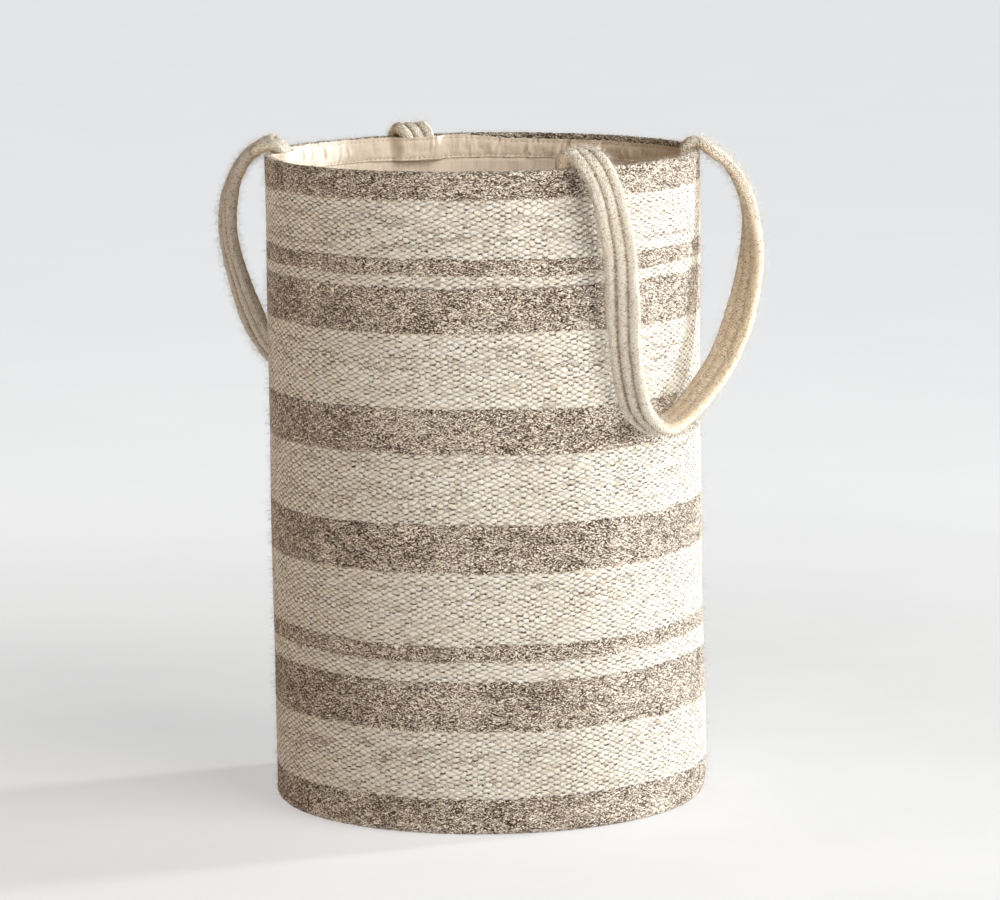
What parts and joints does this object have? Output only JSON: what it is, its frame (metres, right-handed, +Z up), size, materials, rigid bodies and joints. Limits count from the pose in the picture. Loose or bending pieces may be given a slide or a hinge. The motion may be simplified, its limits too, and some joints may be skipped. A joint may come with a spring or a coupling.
{
  "type": "laundry hamper",
  "caption": "Tall round open-topped hamper of striped woven yarn with a sewn cotton liner and soft strap handles that hang outside the rim and swing up for carrying.",
  "frame": {"origin": "centre of the round resting face, on the floor", "axes": "+Z up along the basket axis; +X towards the right handle; the left handle is 172 degrees round from it; the liner's side seam is at +Y"},
  "size_m": [0.4949, 0.406, 0.6297],
  "materials": {
    "woven_cover": "coarse pebble weave of cream cotton and brown jute yarn in wide and narrow stripes, slightly hairy",
    "seam_thread": "matt twisted cotton thread",
    "stiffener_sheet": "matt semi-rigid sheet, hidden between cover and liner",
    "cotton_liner": "thin plain cotton, softly puckered",
    "cotton_facing": "thin plain cotton band, folded and stitched",
    "liner_thread": "matt cotton thread",
    "handle_strap": "thick woven cotton webbing with round ribs, slightly hairy",
    "handle_thread": "mustard-brown stitching in the grooves between the ribs"
  },
  "bodies": {
    "basket": {"woven_shell": "woven_cover", "base_panel": "woven_cover", "base_seam_stitching": "seam_thread", "wall_stiffener": "stiffener_sheet", "base_board": "stiffener_sheet", "liner_wall": "cotton_liner", "liner_side_seam": "cotton_liner", "liner_floor": "cotton_liner", "liner_facing": "cotton_facing", "facing_stitching": "liner_thread", "right_front_tail": "handle_strap", "right_front_fold": "handle_strap", "right_rear_tail": "handle_strap", "right_rear_fold": "handle_strap", "left_front_tail": "handle_strap", "left_front_fold": "handle_strap", "left_rear_tail": "handle_strap", "left_rear_fold": "handle_strap"},
    "right_handle": {"right_handle_loop": "handle_strap", "right_handle_stitching": "handle_thread"},
    "left_handle": {"left_handle_loop": "handle_strap", "left_handle_stitching": "handle_thread"}
  },
  "joints": [
    {"name": "right_handle_swing", "type": "hinge", "parent": "basket", "child": "right_handle", "pos_m": [0.17126, 0, 0.6068], "axis": [0, -1, 0], "range_deg": [0, 170], "deforming": ["right_front_fold", "right_rear_fold"]},
    {"name": "left_handle_swing", "type": "hinge", "parent": "basket", "child": "left_handle", "pos_m": [-0.16959, 0.02383, 0.6068], "axis": [0.1392, 0.9903, 0], "range_deg": [0, 170], "deforming": ["left_front_fold", "left_rear_fold"]}
  ]
}
